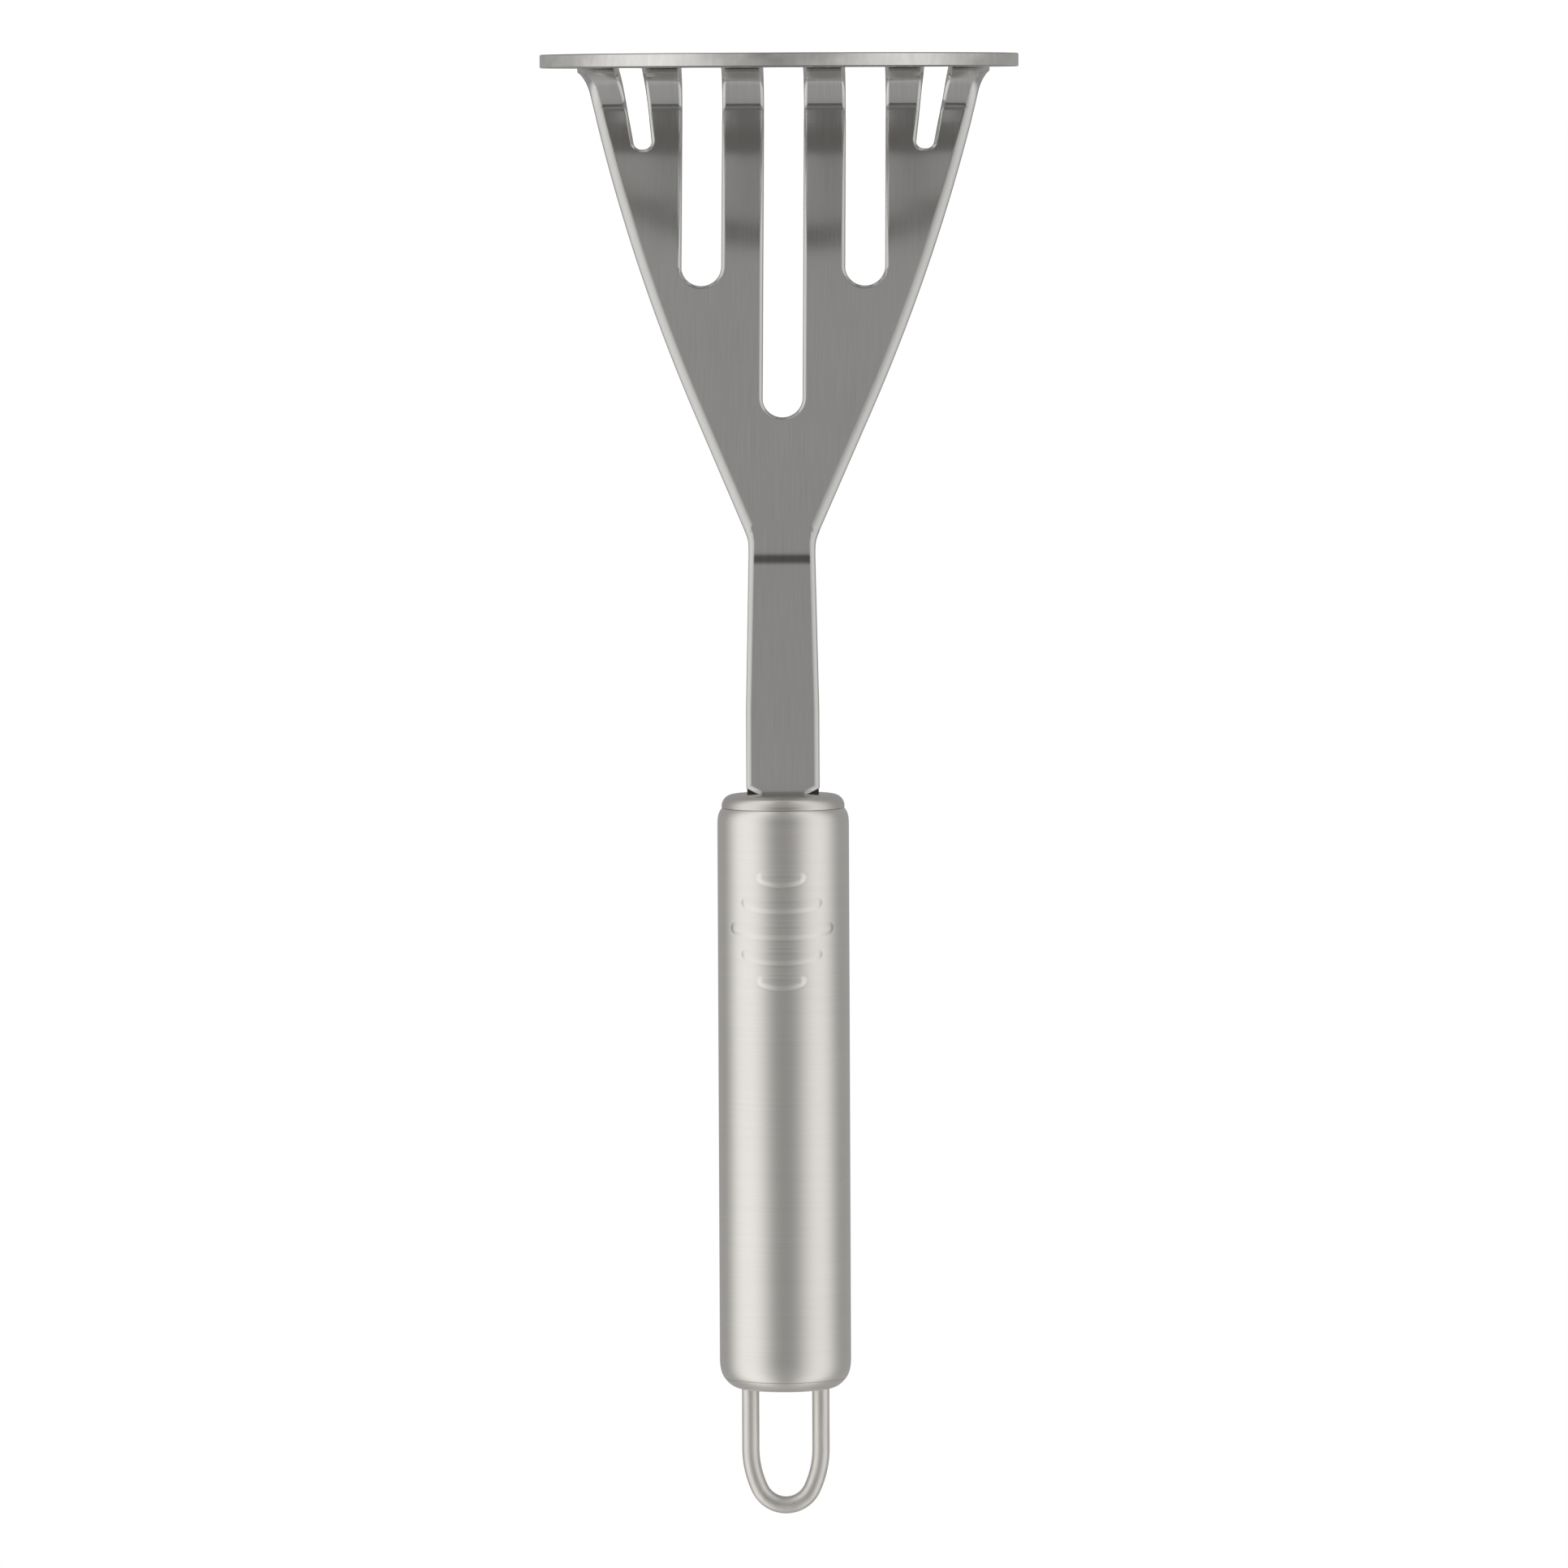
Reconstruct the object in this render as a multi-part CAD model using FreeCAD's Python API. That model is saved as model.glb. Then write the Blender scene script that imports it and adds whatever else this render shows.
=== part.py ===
import FreeCAD, Part
import math
import os

# Potato masher, all stainless steel, standing on its mash plate with the handle upright.
#
# The head is one pressing of 2.5 mm sheet: a round mash plate, a tight bend at the back of it,
# a slotted fan that leans forward over the plate, a second gentle bend, a flat neck, and a
# narrow tang that goes into the handle. The handle is a hollow tube with five raised grip ribs
# on its front, closed by a cap at each end. The neck comes out of one cap, and a bent wire
# hanging loop comes out of the other.
#
# Frame, in millimetres: the origin is the centre of the mash plate on its working face, +Z runs
# up along the handle, and the front, where the plate reaches out, is -Y. The pieces are drawn
# about the handle's own axis and then moved together, so that the plate's centre is the origin.

Vec = FreeCAD.Vector
AXIS_Z = Vec(0, 0, 1)
ORIGIN = Vec(0, 0, 0)

# ---- driving dimensions: head ----
SHEET = 2.5              # sheet thickness
PLATE_R = 44.0           # mash plate radius
PLATE_Y = -4.0           # the plate's centre sits this far in front of the handle's axis
RING_W = 5.5             # solid ring round the front slots
HEEL_R = 6.5             # inside radius of the bend between plate and fan
LEAN = math.radians(14.7)  # how far the fan leans from upright
NECK_BEND_Z = 92.0       # height of the corner between fan and neck
NECK_BEND_R = 18.0       # middle radius of that bend

BAND_FRONT = -10.4       # the solid cross band runs from here ...
BAND_BACK = -2.4         # ... back to the rounded ends of the rear slots
SLOT_PITCH = 15.2        # spacing of the slots across the head
REAR_SLOT_W = 7.45       # slots that run from the plate through the heel into the fan
BAR_W = 3.4              # bars between the front slots
BAND_CORNER = 3.0        # inside corner radius of the front slots at the cross band
RING_CORNER = 1.3        # and at the ring
CENTRE_SLOT_TOP = 67.2   # height where the middle slot ends in the fan
MIDDLE_SLOT_TOP = 43.0   # the pair beside it
OUTER_SLOT_TOP = 17.7    # the small slanted pair

# the outer pair of slots narrows towards the fan; each station is (inner x, outer x)
OUTER_SLOT_PLATE = (27.2, 32.3)
OUTER_SLOT_HEEL = (26.1, 30.6)
OUTER_SLOT_FAN = (24.5, 27.8)

HEEL_SPLIT = 2.65        # how far behind the plate's flat the plan outline hands over
HEEL_W = 38.3            # half width of the sheet there
SHOULDER_Y = 8.0         # where the plate's circle ends and the shoulder begins
FAN_FOOT = (36.15, 7.0)  # fan edge, as (half width, height), from the heel up
FAN_MIDDLE = (29.25, 32.0)
FAN_STRAIGHT = (16.46, 66.0)
FAN_TIP_W = 6.15         # half width where the fan meets the neck
FAN_TIP_Z = 89.55
FAN_TIP_FILLET = 3.0     # length that the rounding takes up on each side of that corner

# ---- driving dimensions: neck and tang ----
NECK_WAIST_Z = 97.0
NECK_FULL_W = 6.75       # half width of the neck at the handle
NECK_FULL_Z = 121.0
TANG_W = 9.6             # width of the tang inside the handle
TANG_DEPTH = 16.0        # how far the tang goes into the handle
NECK_CORNER_H = 1.1      # height of the cut corners where the neck meets the cap

# ---- driving dimensions: handle ----
HANDLE_Z0 = 136.4        # outer face of the neck cap
HANDLE_Z1 = 246.5        # outer face of the end cap
TUBE_R = 12.15
TUBE_WALL = 0.7
NECK_SEAM_Z = 138.85     # joint between neck cap and tube
END_SEAM_Z = 244.7       # joint between end cap and tube
SEAM_R = 11.36           # radius of both joints
MOUTH_H = 3.1            # height over which the tube's mouths are rolled in
CAP_WALL = 0.9
CAP_CORNER = 2.2
END_DOME_W = 4.0         # how far in from its edge the end cap is rounded over
SKIRT_GAP = 0.04
SKIRT_L = 6.0
SEAM_GROOVE = 0.3        # half width of the ground weld round the end cap

# ---- driving dimensions: grip ribs ----
RIB_PITCH = 4.74
RIB_GROUP_Z = 161.0
RIB_HALF_H = 1.4
RIB_RISE = 0.4
RIB_HALF_ANGLES = (21.5, 37.5, 50.5, 37.5, 21.5)

# ---- driving dimensions: hanging loop ----
WIRE_R = 1.6
LEG_X = 6.5              # each leg's distance from the axis
LOOP_TOP = 270.0
LOOP_TIP_R = 5.0         # middle radius of the round tip
LOOP_TIP_HALF = math.radians(50)
LEG_DEPTH = 11.0         # how far the legs go into the handle
HOLE_CLEAR = 0.05

# ---- sizes worked out from the driving dimensions ----
HEEL_MID_R = HEEL_R + SHEET / 2
HEEL_ANGLE = math.pi / 2 + LEAN
HEEL_CENTRE_Z = SHEET + HEEL_R
HEEL_TOP_Z = HEEL_CENTRE_Z - HEEL_MID_R * math.cos(HEEL_ANGLE)
HEEL_Y = (NECK_BEND_Z - HEEL_TOP_Z) * math.tan(LEAN) - HEEL_MID_R * math.sin(HEEL_ANGLE)
SPLIT_Y = HEEL_Y + HEEL_SPLIT
RING_R = PLATE_R - RING_W
NECK_TANGENT = NECK_BEND_R * math.tan(LEAN / 2)
TANG_TOP = HANDLE_Z0 + TANG_DEPTH
TUBE_IN_R = TUBE_R - TUBE_WALL
MOUTH_IN_R = SEAM_R - TUBE_WALL
SKIRT_R = MOUTH_IN_R - SKIRT_GAP
REACH = 60.0             # longer than any part of the head, for cutting shapes
TO_FRAME = Vec(0, -PLATE_Y, 0)  # from the handle's axis to the plate's centre


def line(a, b):
    return Part.LineSegment(Vec(*a), Vec(*b)).toShape()


def arc(a, middle, b):
    return Part.Arc(Vec(*a), Vec(*middle), Vec(*b)).toShape()


def bezier(*poles):
    curve = Part.BezierCurve()
    curve.setPoles([Vec(*p) for p in poles])
    return curve.toShape()


def face_of(edges):
    return Part.Face(Part.Wire(Part.__sortEdges__(edges)))


def mirrored(shape):
    """The shape's mirror image across the plane x = 0."""
    return shape.mirror(ORIGIN, Vec(1, 0, 0))


def both_sides(shape):
    return [shape, mirrored(shape)]


def outline_prism(right_edges, direction):
    """A prism whose outline is the given right-hand edges and their mirror image."""
    edges = list(right_edges) + [mirrored(e) for e in right_edges]
    return face_of(edges).extrude(direction)


def ring_point(radius, angle):
    """A point of the bend's section, as (y, z); the angle runs from straight down."""
    return (HEEL_Y + radius * math.sin(angle), HEEL_CENTRE_Z - radius * math.cos(angle))


def neck_point(radius, angle):
    """A point of the neck bend's section, as (y, z); the angle runs down from the neck."""
    centre_z = NECK_BEND_Z + NECK_TANGENT
    return (NECK_BEND_R - radius * math.cos(angle), centre_z - radius * math.sin(angle))


def in_section(point):
    return (0, point[0], point[1])


def sheet_strip():
    """The bent sheet before its outline is cut: plate, heel, fan, neck and tang in one strip."""
    front_r = HEEL_R
    back_r = HEEL_R + SHEET
    neck_front_r = NECK_BEND_R + SHEET / 2
    neck_back_r = NECK_BEND_R - SHEET / 2
    half = SHEET / 2

    def side(heel_r, neck_r, plate_z, neck_y):
        plate_tip = (-REACH, plate_z)
        plate_end = ring_point(heel_r, 0)
        heel_mid = ring_point(heel_r, HEEL_ANGLE / 2)
        heel_end = ring_point(heel_r, HEEL_ANGLE)
        bend_start = neck_point(neck_r, LEAN)
        bend_mid = neck_point(neck_r, LEAN / 2)
        bend_end = neck_point(neck_r, 0)
        top = (neck_y, TANG_TOP)
        return plate_tip, top, [
            line(in_section(plate_tip), in_section(plate_end)),
            arc(in_section(plate_end), in_section(heel_mid), in_section(heel_end)),
            line(in_section(heel_end), in_section(bend_start)),
            arc(in_section(bend_start), in_section(bend_mid), in_section(bend_end)),
            line(in_section(bend_end), in_section(top)),
        ]

    front_tip, front_top, front_edges = side(front_r, neck_front_r, SHEET, -half)
    back_tip, back_top, back_edges = side(back_r, neck_back_r, 0, half)
    ends = [
        line(in_section(front_tip), in_section(back_tip)),
        line(in_section(front_top), in_section(back_top)),
    ]
    section = face_of(front_edges + back_edges + ends)
    section.translate(Vec(-REACH, 0, 0))
    return section.extrude(Vec(2 * REACH, 0, 0))


def plan_prism():
    """The outline seen from above: the plate's circle and its shoulders, up to SPLIT_Y."""
    shoulder_angle = math.asin((SHOULDER_Y - PLATE_Y) / PLATE_R)
    shoulder_x = PLATE_R * math.cos(shoulder_angle)
    run_out = 3.2
    run_in = 4.4
    slope = (OUTER_SLOT_PLATE[1] - OUTER_SLOT_HEEL[1]) / (SPLIT_Y - BAND_BACK)
    side_angle = (shoulder_angle - math.pi / 2) / 2
    on_circle = (PLATE_R * math.cos(side_angle), PLATE_Y + PLATE_R * math.sin(side_angle), 0)
    edges = [
        arc((0, PLATE_Y - PLATE_R, 0), on_circle, (shoulder_x, SHOULDER_Y, 0)),
        bezier(
            (shoulder_x, SHOULDER_Y, 0),
            (
                shoulder_x - run_out * math.sin(shoulder_angle),
                SHOULDER_Y + run_out * math.cos(shoulder_angle),
                0,
            ),
            (HEEL_W + run_in * slope, SPLIT_Y - run_in, 0),
            (HEEL_W, SPLIT_Y, 0),
        ),
        line((HEEL_W, SPLIT_Y, 0), (0, SPLIT_Y, 0)),
    ]
    prism = outline_prism(edges, Vec(0, 0, REACH))
    prism.translate(Vec(0, 0, -REACH / 2))
    return prism


def fan_edges():
    """The right-hand outline seen from the front, from the heel up to the tang."""
    low = -1.0
    foot_w, foot_z = FAN_FOOT
    heel_z = 3.0
    half_tang = TANG_W / 2
    fan_slope = (FAN_STRAIGHT[0] - FAN_TIP_W) / (FAN_TIP_Z - FAN_STRAIGHT[1])
    fillet_low_z = FAN_TIP_Z - FAN_TIP_FILLET * math.cos(math.atan(fan_slope))
    fillet_low_w = FAN_TIP_W + (FAN_TIP_Z - fillet_low_z) * fan_slope
    fillet_top_z = FAN_TIP_Z + FAN_TIP_FILLET
    neck_foot_z = HANDLE_Z0 - NECK_CORNER_H
    return [
        line((0, 0, low), (HEEL_W, 0, low)),
        line((HEEL_W, 0, low), (HEEL_W, 0, heel_z)),
        bezier(
            (HEEL_W, 0, heel_z),
            (HEEL_W - 0.9, 0, heel_z + 1.0),
            (foot_w + 0.45, 0, foot_z - 1.8),
            (foot_w, 0, foot_z),
        ),
        arc(
            (foot_w, 0, foot_z),
            (FAN_MIDDLE[0], 0, FAN_MIDDLE[1]),
            (FAN_STRAIGHT[0], 0, FAN_STRAIGHT[1]),
        ),
        line((FAN_STRAIGHT[0], 0, FAN_STRAIGHT[1]), (fillet_low_w, 0, fillet_low_z)),
        bezier(
            (fillet_low_w, 0, fillet_low_z),
            (FAN_TIP_W, 0, FAN_TIP_Z),
            (FAN_TIP_W, 0, fillet_top_z),
        ),
        line((FAN_TIP_W, 0, fillet_top_z), (FAN_TIP_W, 0, NECK_WAIST_Z)),
        line((FAN_TIP_W, 0, NECK_WAIST_Z), (NECK_FULL_W, 0, NECK_FULL_Z)),
        line((NECK_FULL_W, 0, NECK_FULL_Z), (NECK_FULL_W, 0, neck_foot_z)),
        line((NECK_FULL_W, 0, neck_foot_z), (half_tang, 0, HANDLE_Z0)),
        line((half_tang, 0, HANDLE_Z0), (half_tang, 0, TANG_TOP)),
        line((half_tang, 0, TANG_TOP), (0, 0, TANG_TOP)),
    ]


def fan_prism():
    """The outline seen from the front, for everything behind SPLIT_Y and above the heel."""
    prism = outline_prism(fan_edges(), Vec(0, 2 * REACH, 0))
    prism.translate(Vec(0, -REACH, 0))
    return prism


def slot_in_plan(x):
    """The plate's share of a rear slot: a round front end, then straight back to SPLIT_Y."""
    half = REAR_SLOT_W / 2
    round_y = BAND_BACK + half
    edges = [
        arc((x - half, round_y, 0), (x, BAND_BACK, 0), (x + half, round_y, 0)),
        line((x + half, round_y, 0), (x + half, SPLIT_Y, 0)),
        line((x + half, SPLIT_Y, 0), (x - half, SPLIT_Y, 0)),
        line((x - half, SPLIT_Y, 0), (x - half, round_y, 0)),
    ]
    cutter = face_of(edges).extrude(Vec(0, 0, REACH))
    cutter.translate(Vec(0, 0, -REACH / 2))
    return cutter


def slot_in_front(x, top):
    """The fan's share of a rear slot: straight up from the heel to a round top end."""
    half = REAR_SLOT_W / 2
    round_z = top - half
    edges = [
        line((x - half, SPLIT_Y, -1), (x + half, SPLIT_Y, -1)),
        line((x + half, SPLIT_Y, -1), (x + half, SPLIT_Y, round_z)),
        arc((x + half, SPLIT_Y, round_z), (x, SPLIT_Y, top), (x - half, SPLIT_Y, round_z)),
        line((x - half, SPLIT_Y, round_z), (x - half, SPLIT_Y, -1)),
    ]
    return face_of(edges)


def outer_slot_in_plan():
    """The plate's share of the right-hand slanted slot, with a round front end."""
    in_front, out_front = OUTER_SLOT_PLATE
    in_back, out_back = OUTER_SLOT_HEEL
    round_y = BAND_BACK + (out_front - in_front) / 2
    middle = (in_front + out_front) / 2
    edges = [
        arc((in_front, round_y, 0), (middle, BAND_BACK, 0), (out_front, round_y, 0)),
        line((out_front, round_y, 0), (out_back, SPLIT_Y, 0)),
        line((out_back, SPLIT_Y, 0), (in_back, SPLIT_Y, 0)),
        line((in_back, SPLIT_Y, 0), (in_front, round_y, 0)),
    ]
    cutter = face_of(edges).extrude(Vec(0, 0, REACH))
    cutter.translate(Vec(0, 0, -REACH / 2))
    return cutter


def outer_slot_in_front():
    """The fan's share of the right-hand slanted slot, with a round top end."""
    in_low, out_low = OUTER_SLOT_HEEL
    in_top, out_top = OUTER_SLOT_FAN
    heel_z = 3.1
    round_z = OUTER_SLOT_TOP - (out_top - in_top) / 2
    middle = (in_top + out_top) / 2
    y = SPLIT_Y
    edges = [
        line((in_low, y, -1), (out_low, y, -1)),
        line((out_low, y, -1), (out_low, y, heel_z)),
        line((out_low, y, heel_z), (out_top, y, round_z)),
        arc((out_top, y, round_z), (middle, y, OUTER_SLOT_TOP), (in_top, y, round_z)),
        line((in_top, y, round_z), (in_low, y, heel_z)),
        line((in_low, y, heel_z), (in_low, y, -1)),
    ]
    return face_of(edges)


def front_slot(left, right):
    """One opening in front of the cross band, between two bars, bounded by the ring."""
    column = Part.makeBox(right - left, REACH, REACH, Vec(left, BAND_FRONT - REACH, -REACH / 2))
    disc = Part.makeCylinder(RING_R, REACH, Vec(0, PLATE_Y, -REACH / 2), AXIS_Z)
    cutter = column.common(disc)
    upright = [e for e in cutter.Edges if abs(e.tangentAt(e.FirstParameter).z) > 0.99]
    at_ring = [e for e in upright if e.Vertexes[0].Y <= BAND_FRONT - 0.01]
    cutter = cutter.makeFillet(RING_CORNER, at_ring)
    upright = [e for e in cutter.Edges if abs(e.tangentAt(e.FirstParameter).z) > 0.99]
    at_band = [e for e in upright if e.Vertexes[0].Y > BAND_FRONT - 0.01]
    return cutter.makeFillet(BAND_CORNER, at_band)


def masher_head():
    """Mash plate, heel, fan, neck and tang: one bent sheet with its slots cut through."""
    strip = sheet_strip()
    before = Part.makeBox(2 * REACH, REACH + SPLIT_Y, 4 * SHEET, Vec(-REACH, -REACH, -SHEET))
    plate = strip.common(plan_prism()).common(before)
    rest = strip.common(fan_prism()).cut(before)

    for x in (-SLOT_PITCH, 0.0, SLOT_PITCH):
        plate = plate.cut(slot_in_plan(x))
        top = CENTRE_SLOT_TOP if x == 0 else MIDDLE_SLOT_TOP
        rest = rest.cut(slot_in_front(x, top).extrude(Vec(0, REACH, 0)))
        rest = rest.cut(slot_in_front(x, top).extrude(Vec(0, -REACH, 0)))
    for cutter in both_sides(outer_slot_in_plan()):
        plate = plate.cut(cutter)
    for cutter in both_sides(outer_slot_in_front()):
        rest = rest.cut(cutter.extrude(Vec(0, REACH, 0)))

    half_bar = BAR_W / 2
    inner_bar = SLOT_PITCH / 2
    outer_bar = 1.5 * SLOT_PITCH
    plate = plate.cut(front_slot(-inner_bar + half_bar, inner_bar - half_bar))
    for cutter in both_sides(front_slot(inner_bar + half_bar, outer_bar - half_bar)):
        plate = plate.cut(cutter)
    for cutter in both_sides(front_slot(outer_bar + half_bar, REACH)):
        plate = plate.cut(cutter)

    return plate.fuse(rest).removeSplitter()


def turned(edges):
    """A full turn of a closed profile in the XZ plane round the handle's axis."""
    return face_of(edges).revolve(ORIGIN, AXIS_Z, 360)


def closed_profile(points):
    """Straight edges through (radius, height) points, back to the first one."""
    corners = [(r, 0, z) for r, z in points]
    return [line(a, b) for a, b in zip(corners, corners[1:] + corners[:1])]


def mouth(inner_r, outer_r, seam_z, inward):
    """A rolled-in tube end as a curve from the seam to the full radius. inward is +1 or -1."""
    full_z = seam_z + inward * MOUTH_H
    return bezier(
        (inner_r, 0, seam_z),
        (outer_r - 0.12, 0, seam_z + inward * 0.55 * MOUTH_H * 0.45),
        (outer_r, 0, seam_z + inward * 0.55 * MOUTH_H),
        (outer_r, 0, full_z),
    )


def grip_rib(index):
    """One raised rib: a capsule-shaped pad that follows the tube's front."""
    z = RIB_GROUP_Z + (index - 2) * RIB_PITCH
    half_angle = RIB_HALF_ANGLES[index]
    half_x = TUBE_R * math.sin(math.radians(half_angle)) - RIB_HALF_H
    shell = Part.makeCylinder(TUBE_R + RIB_RISE, 2 * RIB_HALF_H, Vec(0, 0, z - RIB_HALF_H), AXIS_Z)
    core = Part.makeCylinder(
        TUBE_R - TUBE_WALL / 2, 2 * RIB_HALF_H, Vec(0, 0, z - RIB_HALF_H), AXIS_Z
    )
    back = -REACH
    capsule = face_of([
        line((-half_x, back, z + RIB_HALF_H), (half_x, back, z + RIB_HALF_H)),
        arc(
            (half_x, back, z + RIB_HALF_H),
            (half_x + RIB_HALF_H, back, z),
            (half_x, back, z - RIB_HALF_H),
        ),
        line((half_x, back, z - RIB_HALF_H), (-half_x, back, z - RIB_HALF_H)),
        arc(
            (-half_x, back, z - RIB_HALF_H),
            (-half_x - RIB_HALF_H, back, z),
            (-half_x, back, z + RIB_HALF_H),
        ),
    ]).extrude(Vec(0, REACH, 0))
    return shell.cut(core).common(capsule)


def handle_tube():
    """The hollow grip: a tube with both mouths rolled in and five ribs pressed out."""
    weld_z = END_SEAM_Z - SEAM_GROOVE
    weld_r = SEAM_R - SEAM_GROOVE
    edges = [
        mouth(SEAM_R, TUBE_R, NECK_SEAM_Z, 1),
        line((TUBE_R, 0, NECK_SEAM_Z + MOUTH_H), (TUBE_R, 0, weld_z - MOUTH_H)),
        mouth(SEAM_R, TUBE_R, weld_z, -1),
        line((SEAM_R, 0, weld_z), (weld_r, 0, END_SEAM_Z)),
        line((weld_r, 0, END_SEAM_Z), (MOUTH_IN_R, 0, END_SEAM_Z)),
        mouth(MOUTH_IN_R, TUBE_IN_R, END_SEAM_Z, -1),
        line((TUBE_IN_R, 0, END_SEAM_Z - MOUTH_H), (TUBE_IN_R, 0, NECK_SEAM_Z + MOUTH_H)),
        mouth(MOUTH_IN_R, TUBE_IN_R, NECK_SEAM_Z, 1),
        line((MOUTH_IN_R, 0, NECK_SEAM_Z), (SEAM_R, 0, NECK_SEAM_Z)),
    ]
    tube = turned(edges)
    for index in range(len(RIB_HALF_ANGLES)):
        tube = tube.fuse(grip_rib(index))
    return tube.removeSplitter()


def neck_cap():
    """The cap that the neck comes out of: a shallow domed cup with a skirt in the tube."""
    corner = CAP_CORNER
    flat_r = SEAM_R - corner
    diagonal = corner * math.sqrt(0.5)
    inner_z = HANDLE_Z0 + CAP_WALL
    skirt_end = NECK_SEAM_Z + SKIRT_L
    edges = [
        line((0, 0, HANDLE_Z0), (flat_r, 0, HANDLE_Z0)),
        arc(
            (flat_r, 0, HANDLE_Z0),
            (flat_r + diagonal, 0, HANDLE_Z0 + corner - diagonal),
            (SEAM_R, 0, HANDLE_Z0 + corner),
        ),
        line((SEAM_R, 0, HANDLE_Z0 + corner), (SEAM_R, 0, NECK_SEAM_Z)),
        line((SEAM_R, 0, NECK_SEAM_Z), (SKIRT_R, 0, NECK_SEAM_Z)),
        line((SKIRT_R, 0, NECK_SEAM_Z), (SKIRT_R, 0, skirt_end)),
        line((SKIRT_R, 0, skirt_end), (SKIRT_R - CAP_WALL, 0, skirt_end)),
        line((SKIRT_R - CAP_WALL, 0, skirt_end), (SKIRT_R - CAP_WALL, 0, inner_z + 1)),
        line((SKIRT_R - CAP_WALL, 0, inner_z + 1), (SKIRT_R - CAP_WALL - 1, 0, inner_z)),
        line((SKIRT_R - CAP_WALL - 1, 0, inner_z), (0, 0, inner_z)),
        line((0, 0, inner_z), (0, 0, HANDLE_Z0)),
    ]
    cap = turned(edges)
    slot_w = TANG_W + 2 * HOLE_CLEAR
    slot_t = SHEET + 2 * HOLE_CLEAR
    slot = Part.makeBox(slot_w, slot_t, REACH, Vec(-slot_w / 2, -slot_t / 2, HANDLE_Z0 - 1))
    return cap.cut(slot)


def end_cap():
    """The cap that the hanging loop comes out of, with a hole for each leg."""
    dome_z = END_SEAM_Z + SEAM_GROOVE
    flat_r = SEAM_R - END_DOME_W
    round_over = 0.55        # handle length that makes a curve a quarter ellipse
    inner_z = HANDLE_Z1 - CAP_WALL
    skirt_end = END_SEAM_Z - SKIRT_L
    weld_r = SEAM_R - SEAM_GROOVE
    edges = [
        line((0, 0, HANDLE_Z1), (flat_r, 0, HANDLE_Z1)),
        bezier(
            (flat_r, 0, HANDLE_Z1),
            (flat_r + round_over * END_DOME_W, 0, HANDLE_Z1),
            (SEAM_R, 0, dome_z + round_over * (HANDLE_Z1 - dome_z)),
            (SEAM_R, 0, dome_z),
        ),
        line((SEAM_R, 0, dome_z), (weld_r, 0, END_SEAM_Z)),
        line((weld_r, 0, END_SEAM_Z), (SKIRT_R, 0, END_SEAM_Z)),
        line((SKIRT_R, 0, END_SEAM_Z), (SKIRT_R, 0, skirt_end)),
        line((SKIRT_R, 0, skirt_end), (SKIRT_R - CAP_WALL, 0, skirt_end)),
        line((SKIRT_R - CAP_WALL, 0, skirt_end), (SKIRT_R - CAP_WALL, 0, inner_z - 1)),
        line((SKIRT_R - CAP_WALL, 0, inner_z - 1), (SKIRT_R - CAP_WALL - 1, 0, inner_z)),
        line((SKIRT_R - CAP_WALL - 1, 0, inner_z), (0, 0, inner_z)),
        line((0, 0, inner_z), (0, 0, HANDLE_Z1)),
    ]
    cap = turned(edges)
    hole_r = WIRE_R + HOLE_CLEAR
    for x in (-LEG_X, LEG_X):
        cap = cap.cut(Part.makeCylinder(hole_r, REACH, Vec(x, 0, HANDLE_Z1 - REACH / 2), AXIS_Z))
    return cap


def hanging_loop():
    """A round wire bent to a tall U: straight legs, two easy side bends and a round tip."""
    side_turn = math.pi / 2 - LOOP_TIP_HALF
    tip_side_x = LOOP_TIP_R * math.sin(LOOP_TIP_HALF)
    side_r = (LEG_X - tip_side_x) / (1 - math.cos(side_turn))
    tip_centre_z = LOOP_TOP - WIRE_R - LOOP_TIP_R
    join_z = tip_centre_z + LOOP_TIP_R * math.cos(LOOP_TIP_HALF)
    leg_top = join_z - side_r * math.sin(side_turn)
    leg_foot = HANDLE_Z1 - LEG_DEPTH
    half_turn = side_turn / 2
    bow_x = LEG_X - side_r * (1 - math.cos(half_turn))
    bow_z = leg_top + side_r * math.sin(half_turn)
    path = [
        line((LEG_X, 0, leg_foot), (LEG_X, 0, leg_top)),
        arc((LEG_X, 0, leg_top), (bow_x, 0, bow_z), (tip_side_x, 0, join_z)),
        arc((tip_side_x, 0, join_z), (0, 0, LOOP_TOP - WIRE_R), (-tip_side_x, 0, join_z)),
        arc((-tip_side_x, 0, join_z), (-bow_x, 0, bow_z), (-LEG_X, 0, leg_top)),
        line((-LEG_X, 0, leg_top), (-LEG_X, 0, leg_foot)),
    ]
    circle = Part.Circle(Vec(LEG_X, 0, leg_foot), AXIS_Z, WIRE_R).toShape()
    return Part.Wire(path).makePipeShell([Part.Wire([circle])], True, True)


def tang_welds():
    """Two fillet welds inside the neck cap, one along each face of the tang."""
    inner_z = HANDLE_Z0 + CAP_WALL
    leg = 1.8
    length = TANG_W - 1.0
    welds = []
    for side in (-1, 1):
        face_y = side * SHEET / 2
        foot_y = face_y + side * (HOLE_CLEAR + leg)
        bulge = (face_y + side * 0.62 * leg, inner_z + 0.62 * leg)
        section = face_of([
            line((0, face_y, inner_z), (0, foot_y, inner_z)),
            arc((0, foot_y, inner_z), (0, bulge[0], bulge[1]), (0, face_y, inner_z + leg)),
            line((0, face_y, inner_z + leg), (0, face_y, inner_z)),
        ])
        section.translate(Vec(-length / 2, 0, 0))
        welds.append(section.extrude(Vec(length, 0, 0)))
    return Part.makeCompound(welds)


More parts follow.
